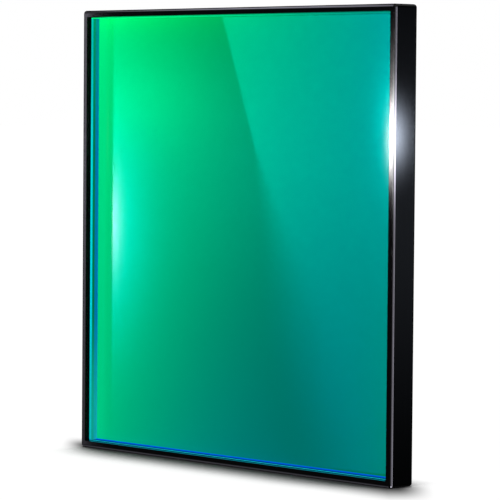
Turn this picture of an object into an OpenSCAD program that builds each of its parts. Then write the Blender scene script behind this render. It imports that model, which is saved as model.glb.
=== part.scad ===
// Square filter for astronomy: a coated glass plate in a slim black frame.
// It stands upright on its bottom edge and looks along -Y.
// The origin is under the middle, at the base, with X to the right and Z up.
// All sizes are in millimetres.

/* [Frame] */
// Width and height of the square frame over its outer faces
frame_side = 50; // [25:0.5:100]
// Thickness of the frame's wall beside the glass
wall = 0.75; // [0.6:0.05:2]
// Rounding along the outer edges at the front and the back
edge_round = 0.3; // [0.1:0.02:0.34]
// Rounding of the four outer corners, seen from the front
corner_round = 0.36; // [0.36:0.01:0.55]
// Rounding of the glass pocket's four corners
pocket_round = 0.15; // [0.1:0.01:0.3]

/* [Seat ledge] */
// How far the ledge reaches in from the wall, behind the glass
ledge_reach = 0.5; // [0.35:0.05:2]
// Thickness of the ledge from the glass to the back of the frame
ledge_depth = 0.4; // [0.3:0.05:2]
// Bevel round the back of the clear opening
ledge_bevel = 0.15; // [0.05:0.05:0.25]

/* [Glass] */
// Thickness of the glass plate
glass_depth = 2.4; // [1:0.1:5]
// How far the glass lies behind the front of the frame
glass_inset = 0.5; // [0.4:0.05:2]
// Gap between the edge of the glass and the frame's wall
glass_gap = 0.05; // [0.02:0.01:0.09]
// Chamfer along the glass's edges at the front and the back
glass_chamfer = 0.12; // [0.04:0.02:0.2]

/* [Hidden] */

// Segments in each full circle
$fn = 48;
// How far a cut runs past the face that it leaves
past = 1;

frame_depth = glass_inset + glass_depth + ledge_depth;
pocket_side = frame_side - 2 * wall;
clear_side = pocket_side - 2 * ledge_reach;
glass_side = pocket_side - 2 * glass_gap;
frame_back = frame_depth / 2;
frame_front = -frame_back;
glass_front = frame_front + glass_inset;
glass_back = glass_front + glass_depth;

// Rectangle about the centre with rounded corners
module rounded_rectangle(width, height, round) {
    square([width, height - 2 * round], center = true);
    square([width - 2 * round, height], center = true);
    for (side_x = [-1, 1], side_y = [-1, 1])
        translate([side_x * (width / 2 - round), side_y * (height / 2 - round)])
            circle(r = round);
}

// Rectangle about the centre with 45 degree corners
module chamfered_rectangle(width, height, chamfer) {
    x = width / 2;
    y = height / 2;
    polygon([
        [chamfer - x, -y], [x - chamfer, -y], [x, chamfer - y], [x, y - chamfer],
        [x - chamfer, y], [chamfer - x, y], [-x, y - chamfer], [-x, chamfer - y]
    ]);
}

// Stands a front outline up on the base, from one depth to another
module upright(front, back) {
    translate([0, back, frame_side / 2])
        rotate([90, 0, 0])
            linear_extrude(height = back - front)
                children();
}

// Draws an outline of width and depth out through the height
module along_z(length) {
    translate([0, 0, (frame_side - length) / 2])
        linear_extrude(height = length)
            children();
}

// Draws an outline of height and depth out through the width
module along_x(length) {
    translate([-length / 2, 0, frame_side / 2])
        rotate([90, 0, 90])
            linear_extrude(height = length)
                children();
}

// One rounded corner post: a disc of the frame's depth with rounded rims
module corner_disc() {
    rotate([90, 0, 0])
        rotate_extrude()
            intersection() {
                rounded_rectangle(2 * corner_round, frame_depth, edge_round);
                translate([0, -frame_depth / 2])
                    square([corner_round, frame_depth]);
            }
}

// The frame's outer form: two slabs that cross, with a disc in each corner
module outer_form() {
    straight = frame_side - 2 * corner_round;
    along_z(straight)
        rounded_rectangle(frame_side, frame_depth, edge_round);
    along_x(straight)
        rounded_rectangle(frame_depth, frame_side, edge_round);
    for (side_x = [-1, 1], side_z = [-1, 1])
        translate([side_x * straight / 2, 0, frame_side / 2 + side_z * straight / 2])
            corner_disc();
}

// Cut with sloping sides that widens the clear opening towards the back
module opening_bevel() {
    narrow = clear_side / 2 - past;
    wide = clear_side / 2 + ledge_bevel + past;
    start = frame_back - ledge_bevel - past;
    end = frame_back + past;
    intersection() {
        along_x(2 * wide)
            polygon([[start, -narrow], [end, -wide], [end, wide], [start, narrow]]);
        along_z(2 * wide)
            polygon([[-narrow, start], [-wide, end], [wide, end], [narrow, start]]);
    }
}

// Slim frame: a wall round the glass and a ledge behind it, in one piece
module frame() {
    color([0.07, 0.07, 0.08])
        difference() {
            outer_form();
            upright(frame_front - past, glass_back)
                rounded_rectangle(pocket_side, pocket_side, pocket_round);
            upright(glass_back - past, frame_back + past)
                square(clear_side, center = true);
            opening_bevel();
        }
}

// Coated plate with its edges chamfered, which lies in the pocket against the ledge
module filter_glass() {
    middle = (glass_front + glass_back) / 2;
    color([0.0, 0.78, 0.55])
        intersection() {
            upright(glass_front, glass_back)
                rounded_rectangle(glass_side, glass_side, pocket_round - glass_gap);
            along_x(glass_side)
                translate([middle, 0])
                    chamfered_rectangle(glass_depth, glass_side, glass_chamfer);
            along_z(glass_side)
                translate([0, middle])
                    chamfered_rectangle(glass_side, glass_depth, glass_chamfer);
        }
}

frame();
filter_glass();
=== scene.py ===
import math
import bpy
from mathutils import Matrix, Vector


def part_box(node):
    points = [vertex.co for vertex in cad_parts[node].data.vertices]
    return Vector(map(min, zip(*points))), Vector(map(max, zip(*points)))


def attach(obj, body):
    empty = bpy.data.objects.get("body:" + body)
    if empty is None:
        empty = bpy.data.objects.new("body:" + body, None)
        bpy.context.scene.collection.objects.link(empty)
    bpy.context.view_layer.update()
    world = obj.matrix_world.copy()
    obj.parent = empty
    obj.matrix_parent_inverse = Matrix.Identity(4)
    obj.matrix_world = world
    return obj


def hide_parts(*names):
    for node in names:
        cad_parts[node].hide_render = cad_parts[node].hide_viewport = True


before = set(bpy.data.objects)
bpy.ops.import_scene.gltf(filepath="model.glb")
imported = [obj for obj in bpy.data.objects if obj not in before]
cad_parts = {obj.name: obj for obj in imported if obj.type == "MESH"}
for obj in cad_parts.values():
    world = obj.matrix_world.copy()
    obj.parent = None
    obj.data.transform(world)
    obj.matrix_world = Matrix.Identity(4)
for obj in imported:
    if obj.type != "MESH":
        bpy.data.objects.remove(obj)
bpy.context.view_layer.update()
print("frame loaded")

mm = 0.001
frameLow, frameHigh = (Vector(c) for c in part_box("frame"))
glassLow, glassHigh = (Vector(c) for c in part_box("filter_glass"))


def toLinear(colour):
    # screen values of 0 to 255 to the linear numbers that a shader takes
    parts = [c / 255 for c in colour]
    parts = [p / 12.92 if p <= 0.04045 else ((p + 0.055) / 1.055) ** 2.4 for p in parts]
    return (*parts, 1)


def clearSelection():
    bpy.ops.object.select_all(action="DESELECT")


def makeMaterial(name):
    material = bpy.data.materials.new(name)
    material.use_nodes = True
    tree = material.node_tree
    return material, tree, tree.nodes["Principled BSDF"], tree.nodes["Material Output"]


def addMath(tree, operation, a, b=None, c=None):
    node = tree.nodes.new("ShaderNodeMath")
    node.operation = operation
    for socket, value in zip(node.inputs, (a, b, c)):
        if value is None:
            continue
        if isinstance(value, (int, float)):
            socket.default_value = value
        else:
            tree.links.new(value, socket)
    return node.outputs[0]


def addRange(tree, value, low, high, outLow=0, outHigh=1, kind="LINEAR"):
    node = tree.nodes.new("ShaderNodeMapRange")
    node.interpolation_type = kind
    tree.links.new(value, node.inputs["Value"])
    node.inputs["From Min"].default_value = low
    node.inputs["From Max"].default_value = high
    node.inputs["To Min"].default_value = outLow
    node.inputs["To Max"].default_value = outHigh
    return node.outputs["Result"]


def addMix(tree, factor, a, b):
    node = tree.nodes.new("ShaderNodeMix")
    node.data_type = "RGBA"
    tree.links.new(factor, node.inputs["Factor"])
    for name, value in (("A", a), ("B", b)):
        socket = [s for s in node.inputs if s.name == name and s.type == "RGBA"][0]
        if isinstance(value, tuple):
            socket.default_value = value
        else:
            tree.links.new(value, socket)
    return [s for s in node.outputs if s.type == "RGBA"][0]


def objectPlace(tree):
    place = tree.nodes.new("ShaderNodeTexCoord")
    split = tree.nodes.new("ShaderNodeSeparateXYZ")
    tree.links.new(place.outputs["Object"], split.inputs[0])
    return place.outputs["Object"], split.outputs


# camera: right of the front, a little above the middle, with a long lens
cameraSet = {
    "turn": 47.134, "tilt": 2.816, "roll": 0.461, "lens": 222.4,
    "place": (247.5, -228.24, 40.19),
}


def makeCamera():
    turn, tilt, roll = (math.radians(cameraSet[k]) for k in ("turn", "tilt", "roll"))
    bpy.ops.object.camera_add()
    camera = bpy.context.object
    camera.name = "photoCamera"
    camera.data.lens = cameraSet["lens"]
    camera.data.sensor_width = 36
    camera.data.clip_start = 0.01
    facing = Matrix.Rotation(turn, 4, "Z") @ Matrix.Rotation(math.pi / 2 - tilt, 4, "X")
    facing = facing @ Matrix.Rotation(roll, 4, "Z")
    camera.matrix_world = Matrix.Translation(Vector(cameraSet["place"]) * mm) @ facing
    bpy.context.scene.camera = camera


makeCamera()
print("camera placed")


# black anodised metal of the frame
blackSet = {
    "colour": (8, 8, 9), "roughness": (0.03, 0.07), "grain": 5200, "bump": 0.03,
    "pocket": 24.29,  # half the width within which the wall is matt, in millimetres
}


def makeBlack():
    material, tree, shader, out = makeMaterial("blackAnodised")
    place, split = objectPlace(tree)
    grain = tree.nodes.new("ShaderNodeTexNoise")
    grain.inputs["Scale"].default_value = blackSet["grain"]
    grain.inputs["Detail"].default_value = 3
    tree.links.new(place, grain.inputs["Vector"])
    rough = addRange(tree, grain.outputs["Fac"], 0.3, 0.7, *blackSet["roughness"])
    tree.links.new(rough, shader.inputs["Roughness"])
    shader.inputs["Base Color"].default_value = toLinear(blackSet["colour"])
    aside = addMath(tree, "ABSOLUTE", split["X"])
    above = addMath(tree, "ABSOLUTE", addMath(tree, "SUBTRACT", split["Z"], 25 * mm))
    outward = addMath(tree, "MAXIMUM", aside, above)
    outer = addMath(tree, "GREATER_THAN", outward, blackSet["pocket"] * mm)
    tree.links.new(addMath(tree, "MULTIPLY_ADD", outer, 0.45, 0.05), shader.inputs["Specular IOR Level"])
    bump = tree.nodes.new("ShaderNodeBump")
    bump.inputs["Strength"].default_value = blackSet["bump"]
    bump.inputs["Distance"].default_value = 0.001 * mm
    tree.links.new(grain.outputs["Fac"], bump.inputs["Height"])
    tree.links.new(bump.outputs["Normal"], shader.inputs["Normal"])
    return material


# the glass plate: clear front, walls with painted reflections and a painted glow, and the coating on its back
# coating colours are linear green and blue, at the corners and as a bulge between left and right
plateSet = {
    "chamfer": 0.12, "ior": 1.52, "seat": 0.01,
    "topLeft": (0.915, 0.242), "topRight": (0.160, 0.242), "topBulge": (-0.640, -0.520),
    "bottomLeft": (0.572, 0.221), "bottomRight": (0.218, 0.070), "bottomBulge": (-0.674, 0.185),
}


def makeClear():
    material, tree, shader, out = makeMaterial("clearFront")
    shader.inputs["Base Color"].default_value = (1, 1, 1, 1)
    shader.inputs["Roughness"].default_value = 0
    shader.inputs["IOR"].default_value = plateSet["ior"]
    shader.inputs["Transmission Weight"].default_value = 1
    shader.inputs["Specular Tint"].default_value = (0.006, 0.02, 0.02, 1)  # antireflection coated
    path = tree.nodes.new("ShaderNodeLightPath")
    through = tree.nodes.new("ShaderNodeBsdfTransparent")
    passing = addMath(tree, "MAXIMUM", path.outputs["Is Shadow Ray"], path.outputs["Is Diffuse Ray"])
    choose = tree.nodes.new("ShaderNodeMixShader")
    tree.links.new(passing, choose.inputs[0])
    tree.links.new(shader.outputs[0], choose.inputs[1])
    tree.links.new(through.outputs[0], choose.inputs[2])
    tree.links.new(choose.outputs[0], out.inputs["Surface"])
    return material


def makeCoating():
    material, tree, shader, out = makeMaterial("interferenceCoating")
    place, split = objectPlace(tree)
    u = addRange(tree, split["X"], glassLow.x, glassHigh.x)
    v = addRange(tree, split["Z"], glassLow.z, glassHigh.z)
    hump = addMath(tree, "MULTIPLY", u, addMath(tree, "SUBTRACT", 1, u))
    join = tree.nodes.new("ShaderNodeCombineColor")
    for channel, socket in ((0, "Green"), (1, "Blue")):
        rows = []
        for row in ("top", "bottom"):
            left, right, bulge = (plateSet[row + side][channel] for side in ("Left", "Right", "Bulge"))
            slope = addMath(tree, "MULTIPLY_ADD", u, right - left, left)
            rows.append(addMath(tree, "MULTIPLY_ADD", hump, bulge, slope))
        rise = addMath(tree, "SUBTRACT", rows[0], rows[1])
        value = addMath(tree, "MULTIPLY_ADD", v, rise, rows[1])
        tree.links.new(addMath(tree, "MAXIMUM", value, 0), join.inputs[socket])
    join.inputs["Red"].default_value = 0
    tree.links.new(join.outputs[0], shader.inputs["Base Color"])
    shader.inputs["Roughness"].default_value = 0.01
    return material


# the polished edges carry a few bands of colour from the front to the back of the plate, painted reflections that
# stand in for light mirrored inside the glass
# a band is a part of the depth and a tone; a blend is a tone, its amount, its axis and its reach in millimetres
toneSet = {
    "teal": (20, 170, 160), "shade": (40, 70, 60), "cyan": (0, 210, 240), "green": (0, 110, 65),
    "blue": (0, 110, 170), "deepBlue": (0, 75, 190), "night": (0, 50, 70), "brightCyan": (15, 180, 200),
    "seaGreen": (0, 140, 120), "mint": (0, 225, 120),
}
edgeSet = {
    "side": ((0, "teal"), (0.05, "shade"), (0.15, "cyan"), (0.27, "cyan"), (0.41, "green"), (0.6, "green"),
             (0.68, "blue"), (1, "blue")),
    # painted reflection: the side bands turn sea green towards the top and teal towards the bottom
    "sideBlends": (("seaGreen", 0.5, "Z", 33, 47), ("teal", 0.7, "Z", 17, 3)),
    "bottom": ((0, "night"), (0.022, "night"), (0.03, "brightCyan"), (0.052, "brightCyan"), (0.08, "night"),
               (0.64, "night"), (0.7, "deepBlue"), (0.97, "deepBlue"), (1, "blue")),
    "top": ((0, "mint"), (1, "mint")),
    "topBlends": (("seaGreen", 1, "X", -24, 24),),
    # the edges glow by emission at this strength, painted light that stands in for light the plate carries inside
    "glow": 0.78,
}


def addBands(tree, depth, stops):
    ramp = tree.nodes.new("ShaderNodeValToRGB")
    while len(ramp.color_ramp.elements) < len(stops):
        ramp.color_ramp.elements.new(0.5)
    for element, (spot, tone) in zip(ramp.color_ramp.elements, stops):
        element.position = spot
        element.color = toLinear(toneSet[tone])
    tree.links.new(depth, ramp.inputs[0])
    return ramp.outputs[0]


def makeEdge(name, bands, blends=()):
    material, tree, shader, out = makeMaterial(name)
    place, split = objectPlace(tree)
    depth = addRange(tree, split["Y"], glassLow.y, glassHigh.y)
    colour = addBands(tree, depth, edgeSet[bands])
    for tone, amount, axis, low, high in blends:
        part = addRange(tree, split[axis], low * mm, high * mm, 0, amount, "SMOOTHSTEP")
        colour = addMix(tree, part, colour, toLinear(toneSet[tone]))
    tree.links.new(colour, shader.inputs["Base Color"])
    # painted light: the band colour is also emission, so the edges glow though no lamp is there
    tree.links.new(colour, shader.inputs["Emission Color"])
    shader.inputs["Emission Strength"].default_value = edgeSet["glow"]
    shader.inputs["Roughness"].default_value = 0.4
    shader.inputs["Specular IOR Level"].default_value = 0
    return material


def makePlate():
    clearSelection()
    low, high = glassLow.copy(), glassHigh.copy()
    high.y -= plateSet["seat"] * mm
    bpy.ops.mesh.primitive_cube_add(size=1, location=(low + high) / 2, scale=high - low)
    plate = bpy.context.object
    plate.name = "coatedPlate"
    bpy.ops.object.transform_apply(location=True, rotation=True, scale=True)
    bpy.ops.object.mode_set(mode="EDIT")
    bpy.ops.mesh.select_mode(type="EDGE")
    bpy.ops.mesh.select_all(action="DESELECT")
    bpy.ops.object.mode_set(mode="OBJECT")
    points = plate.data.vertices
    for edge in plate.data.edges:
        a, b = (points[i].co for i in edge.vertices)
        edge.select = abs(a.y - b.y) < 0.01 * mm
    bpy.ops.object.mode_set(mode="EDIT")
    bpy.ops.mesh.bevel(offset=plateSet["chamfer"] * mm, segments=1)
    bpy.ops.object.mode_set(mode="OBJECT")
    kinds = (
        makeClear(), makeCoating(),
        makeEdge("sideEdgePaintedReflection", "side", edgeSet["sideBlends"]),
        makeEdge("bottomEdgePaintedReflection", "bottom"),
        makeEdge("topEdgePaintedReflection", "top", edgeSet["topBlends"]),
    )
    for material in kinds:
        plate.data.materials.append(material)
    for face in plate.data.polygons:
        n = face.normal
        if n.y < -0.9:
            face.material_index = 0
        elif n.y > 0.9:
            face.material_index = 1
        elif abs(n.x) > 0.5:
            face.material_index = 2
        else:
            face.material_index = 3 if n.z < 0 else 4
    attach(plate, "root")
    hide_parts("filter_glass")
    return plate


black = makeBlack()
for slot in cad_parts["frame"].material_slots:
    slot.material = black
print("frame finished")
makePlate()
print("glass plate made")


# studio floor: white where it is open, with a soft shadow where the part stands; the shadow is painted into the
# floor's glow for camera rays, from ambient occlusion and from the distance to the part's foot, and only a faint
# real shadow falls on its dim grey
# across counts to the right and near counts towards the camera, in millimetres on the floor
floorSet = {
    "reach": 15, "open": (0.535, 0.83), "grey": 0.12, "back": (0, 7),
    "across": (0.678, 0.735), "near": (0.735, -0.678),
    "foot": (1.14, 1.4, 18.8), "left": (-20.8, -17.4), "right": (20.5, 16.4), "fade": (12.3, -1), "rise": (-8, 1),
}


def makeFloor():
    clearSelection()
    bpy.ops.mesh.primitive_plane_add(size=6, location=(0, 0, 0))
    floor = bpy.context.object
    floor.name = "studioFloor"
    material, tree, shader, out = makeMaterial("paleFloor")
    shader.inputs["Base Color"].default_value = (*[floorSet["grey"]] * 3, 1)
    shader.inputs["Roughness"].default_value = 1
    shader.inputs["Specular IOR Level"].default_value = 0
    path = tree.nodes.new("ShaderNodeLightPath")
    # painted shadow: ambient occlusion darkens the floor's glow near the part, except behind it
    openness = tree.nodes.new("ShaderNodeAmbientOcclusion")
    openness.samples = 16
    openness.inputs["Distance"].default_value = floorSet["reach"] * mm
    light = addRange(tree, openness.outputs["AO"], *floorSet["open"], 0, 1, "SMOOTHSTEP")
    place, split = objectPlace(tree)
    behind = addRange(tree, split["Y"], *[d * mm for d in floorSet["back"]], 0, 1, "SMOOTHSTEP")
    light = addMath(tree, "MAXIMUM", light, behind)
    x, y = (addMath(tree, "MULTIPLY", split[axis], 1000) for axis in ("X", "Y"))
    across, near = (
        addMath(tree, "MULTIPLY_ADD", x, floorSet[k][0], addMath(tree, "MULTIPLY", y, floorSet[k][1]))
        for k in ("across", "near")
    )
    # painted shadow: the glow darkens along the part's foot, fading over about 12 millimetres towards the camera
    # and at the left and right ends
    slope, start, corner = floorSet["foot"]
    foot = addMath(tree, "MINIMUM", addMath(tree, "MULTIPLY_ADD", across, slope, start), corner)
    beyond = addMath(tree, "SUBTRACT", near, foot)
    shade = 1
    for value, key in ((across, "left"), (across, "right"), (beyond, "fade"), (beyond, "rise")):
        shade = addMath(tree, "MULTIPLY", addRange(tree, value, *floorSet[key], 0, 1, "SMOOTHSTEP"), shade)
    light = addMath(tree, "MINIMUM", light, addMath(tree, "SUBTRACT", 1, shade))
    glow = tree.nodes.new("ShaderNodeEmission")
    tree.links.new(addMath(tree, "MULTIPLY", path.outputs["Is Camera Ray"], light), glow.inputs["Strength"])
    both = tree.nodes.new("ShaderNodeAddShader")
    tree.links.new(shader.outputs[0], both.inputs[0])
    tree.links.new(glow.outputs[0], both.inputs[1])
    tree.links.new(both.outputs[0], out.inputs["Surface"])
    floor.data.materials.append(material)
    floor.visible_glossy = False
    floor.visible_transmission = False


# white to the camera, for all else a dim studio that is darkest where flat black faces mirror it
worldSet = {"low": 0.04, "high": 0.42, "dark": 0.12, "left": 0.1}


def makeWorld():
    world = bpy.data.worlds.new("studioWorld")
    bpy.context.scene.world = world
    world.use_nodes = True
    tree = world.node_tree
    back = tree.nodes["Background"]
    path = tree.nodes.new("ShaderNodeLightPath")
    place = tree.nodes.new("ShaderNodeTexCoord")
    split = tree.nodes.new("ShaderNodeSeparateXYZ")
    tree.links.new(place.outputs["Generated"], split.inputs[0])
    height = addRange(tree, split.outputs["Z"], -0.1, 0.7, worldSet["low"], worldSet["high"], "SMOOTHSTEP")
    across = addMath(tree, "MULTIPLY", split.outputs["X"], 0.735)
    across = addMath(tree, "MULTIPLY_ADD", split.outputs["Y"], 0.678, across)
    dark = addRange(tree, addMath(tree, "ABSOLUTE", across), 0.6, 0.95, 1, worldSet["dark"], "SMOOTHSTEP")
    left = addRange(tree, split.outputs["X"], -0.4, 0.2, worldSet["left"], 1, "SMOOTHSTEP")
    dim = addMath(tree, "MULTIPLY", addMath(tree, "MULTIPLY", height, dark), left)
    camera = path.outputs["Is Camera Ray"]
    tree.links.new(addMath(tree, "MAXIMUM", camera, dim), back.inputs["Strength"])
    back.inputs["Color"].default_value = (1, 1, 1, 1)


def makeLamp(name, place, aim, size, power):
    bpy.ops.object.light_add(type="AREA", location=Vector(place) * mm)
    lamp = bpy.context.object
    lamp.name = name
    lamp.data.shape = "RECTANGLE"
    lamp.data.size, lamp.data.size_y = size[0] * mm, size[1] * mm
    lamp.data.energy = power
    lamp.rotation_euler = (Vector(place) - Vector(aim)).to_track_quat("Z", "Y").to_euler()
    lamp.visible_camera = False
    lamp.visible_glossy = False
    lamp.visible_transmission = False


# reflection cards: glowing sheets that only mirrored rays see; x and y on a card are in millimetres
def makeCard(name, place, facing, size, glossy, throughGlass):
    clearSelection()
    turn = Vector(facing).to_track_quat("Z", "Y").to_euler()
    bpy.ops.mesh.primitive_plane_add(size=1, location=Vector(place) * mm, rotation=turn)
    card = bpy.context.object
    card.name = name
    bpy.ops.transform.resize(value=(size[0] * mm, size[1] * mm, 1), orient_type="LOCAL")
    bpy.ops.object.transform_apply(location=False, rotation=False, scale=True)
    card.visible_camera = card.visible_diffuse = card.visible_shadow = False
    card.visible_glossy = glossy
    card.visible_transmission = throughGlass
    material, tree, shader, out = makeMaterial(name + "Light")
    tree.nodes.remove(shader)
    glow = tree.nodes.new("ShaderNodeEmission")
    tree.links.new(glow.outputs[0], out.inputs["Surface"])
    card.data.materials.append(material)
    place, split = objectPlace(tree)
    x = addMath(tree, "MULTIPLY", split["X"], 1000)
    y = addMath(tree, "MULTIPLY", split["Y"], 1000)
    return card, tree, glow, x, y


def addBlob(tree, x, y, centre, radius):
    # soft round spot of light: exp of minus the squared distance
    parts = []
    for value, middle, reach in zip((x, y), centre, radius):
        scaled = addMath(tree, "DIVIDE", addMath(tree, "SUBTRACT", value, middle), reach)
        parts.append(addMath(tree, "MULTIPLY", scaled, scaled))
    total = addMath(tree, "ADD", *parts)
    return addMath(tree, "POWER", math.e, addMath(tree, "MULTIPLY", total, -1))


makeFloor()
makeWorld()
makeLamp("frontLamp", (0, -1400, 35), (0, 0, 25), (120, 90), 17.2)

# the sheet whose image lies on the glass: a softbox with a slanting edge, and a glow at the left
glassCardSet = {
    "place": (-294.56, -272.67, 25), "facing": (0.7335, 0.6797, 0), "mirror": 0.0475,
    "leftEdge": -31.3,
    "glow": ((-25.3, 3.4), (61, 29.3), (0, 0.115, 0.09)),
    "core": ((-46.8, -17), (15.8, 24.1), (0, 0.9, 1.2)),
    "near": ((-31, -12), (6, 20), (0, 0.12, 0.13)),
    "hot": ((-31.3, -14.7), (1.6, 8.8), (0.36, 0.2, 0.35)),
    "sheen": ((-27, 14), (17, 11), (0, 0.18, 0.05)),
    "edge": ((36.7, 9), (4.6, 13), (0, 0.6, 0.6)),
    "edgeHot": ((34.75, 5.5), (0.95, 5.3), (0.85, 0.4, 0.4)),
    "blobs": ("glow", "core", "near", "hot", "sheen", "edge", "edgeHot"),
    "slant": ((-5, 32.7), (13.6, -40.3)),
    "greenStep": (0.182, 0.00181), "blueStep": (0.149, 0.000245),
}


def makeGlassCard():
    kit = glassCardSet
    card, tree, light, x, y = makeCard("glassCard", kit["place"], kit["facing"], (300, 260), False, True)
    x = addMath(tree, "MULTIPLY", x, -1)  # counted from left to right as the glass shows it
    (xa, ya), (xb, yb) = kit["slant"]
    slope = (xb - xa) / (yb - ya)
    edge = addMath(tree, "MULTIPLY_ADD", y, slope, xa - slope * ya)
    down = addRange(tree, y, ya, yb)
    soft = addMath(tree, "MULTIPLY_ADD", down, 16.5, -6.4)
    soft = addMath(tree, "MAXIMUM", soft, 0.3)
    side = addMath(tree, "DIVIDE", addMath(tree, "SUBTRACT", x, edge), soft)
    step = addRange(tree, side, -1, 1, 0, 1, "SMOOTHSTEP")
    inside = addMath(tree, "GREATER_THAN", x, kit["leftEdge"])
    blobs = [(addBlob(tree, x, y, *kit[k][:2]), kit[k][2]) for k in kit["blobs"]]
    join = tree.nodes.new("ShaderNodeCombineColor")
    for channel, socket in enumerate(("Red", "Green", "Blue")):
        value = 0
        for blob, levels in blobs:
            value = addMath(tree, "MULTIPLY_ADD", blob, levels[channel], value)
        value = addMath(tree, "MULTIPLY", value, inside)
        if socket != "Red":
            level, rise = kit[socket.lower() + "Step"]
            amount = addMath(tree, "MULTIPLY_ADD", y, rise, level)
            value = addMath(tree, "MULTIPLY_ADD", step, amount, value)
        tree.links.new(value, join.inputs[socket])
    tree.links.new(join.outputs[0], light.inputs["Color"])
    light.inputs["Strength"].default_value = 1 / kit["mirror"]


# sheets whose images lie on the black frame
frameCardSet = {
    "right": {"place": (260, -138, -90), "facing": (-1, 0, 0), "size": (522, 420)},
    "side": {"place": (234, 215, 32.7), "facing": (-0.697, -0.717, 0), "size": (60, 200)},
    "left": {"place": (-337.1, -226.75, 4), "facing": (0.7335, 0.6797, 0), "size": (56, 120)},
    "above": {"place": (-374, -212, 276), "facing": (0.73, 0.42, -0.54), "size": (300, 340)},
    "below": {"place": (-365, -150, -290), "facing": (0.73, 0.3, 0.6), "size": (330, 330), "level": 0.5},
    "under": {"place": (120, -30, -200), "facing": (-0.4, 0.1, 0.9), "size": (200, 95), "level": 26},
    "flat": {"place": (-267.95, -301.39, 31), "facing": (0.7335, 0.6797, 0), "size": (5.7, 60), "level": 90},
    "bevel": {"place": (-20, -400, 32), "facing": (0, 1, 0), "size": (520, 60), "level": 60},
    "haze": 3, "tint": (0.87, 0.84, 1.0),
}


def makeFrameCards():
    kit = frameCardSet
    card, tree, light, x, y = makeCard("rightCard", **kit["right"], glossy=True, throughGlass=False)
    rise = addRange(tree, x, 262, -200)
    spot = addBlob(tree, x, y, (-178, 122.6), (300, 7.5))
    level = addMath(tree, "MULTIPLY", addMath(tree, "MULTIPLY", rise, rise), 9)
    level = addMath(tree, "MULTIPLY_ADD", spot, 70, level)
    # a gap straight beside the part keeps its side face black when seen square on
    gap = addRange(tree, addMath(tree, "ABSOLUTE", addMath(tree, "ADD", x, 138)), 22, 40, 0, 1, "SMOOTHSTEP")
    tree.links.new(addMath(tree, "MULTIPLY", level, gap), light.inputs["Strength"])
    light.inputs["Color"].default_value = (*kit["tint"], 1)
    card, tree, light, x, y = makeCard("sideCard", **kit["side"], glossy=True, throughGlass=False)
    spot = addBlob(tree, x, y, (3.4, 0), (2.1, 5))
    haze = addMath(tree, "MULTIPLY", addBlob(tree, x, y, (0, -12), (40, 35)), 0.24)
    tree.links.new(addMath(tree, "MULTIPLY_ADD", spot, 26, haze), light.inputs["Strength"])
    light.inputs["Color"].default_value = (0.72, 0.82, 1, 1)
    card, tree, light, x, y = makeCard("leftCard", **kit["left"], glossy=True, throughGlass=False)
    tree.links.new(addRange(tree, y, -60, 20, 0.3, 2.3), light.inputs["Strength"])
    light.inputs["Color"].default_value = (*kit["tint"], 1)
    card, tree, light, x, y = makeCard("aboveCard", **kit["above"], glossy=True, throughGlass=False)
    along = addMath(tree, "MULTIPLY", addMath(tree, "SUBTRACT", y, x), math.sqrt(0.5))
    spot = addBlob(tree, along, along, (31, 31), (48, 48))
    tree.links.new(addMath(tree, "MULTIPLY", spot, 4.2), light.inputs["Strength"])
    light.inputs["Color"].default_value = (*kit["tint"], 1)
    for name in ("below", "under"):
        level = kit[name].pop("level")
        card, tree, light, x, y = makeCard(name + "Card", **kit[name], glossy=True, throughGlass=False)
        light.inputs["Strength"].default_value = level
        light.inputs["Color"].default_value = (*kit["tint"], 1)
    for name, reach in (("flat", (30, 6.5)), ("bevel", (300, 8))):
        level = kit[name].pop("level")
        card, tree, light, x, y = makeCard(name + "Card", **kit[name], glossy=True, throughGlass=False)
        spot = addBlob(tree, x, y, (0, 0), reach)
        haze = addMath(tree, "MULTIPLY", addBlob(tree, x, y, (0, 12), (reach[0], 9)), kit["haze"])
        tree.links.new(addMath(tree, "MULTIPLY_ADD", spot, level, haze), light.inputs["Strength"])


makeGlassCard()
makeFrameCards()
print("studio lit")

bpy.context.scene.view_settings.view_transform = "Standard"
print("scene finished")
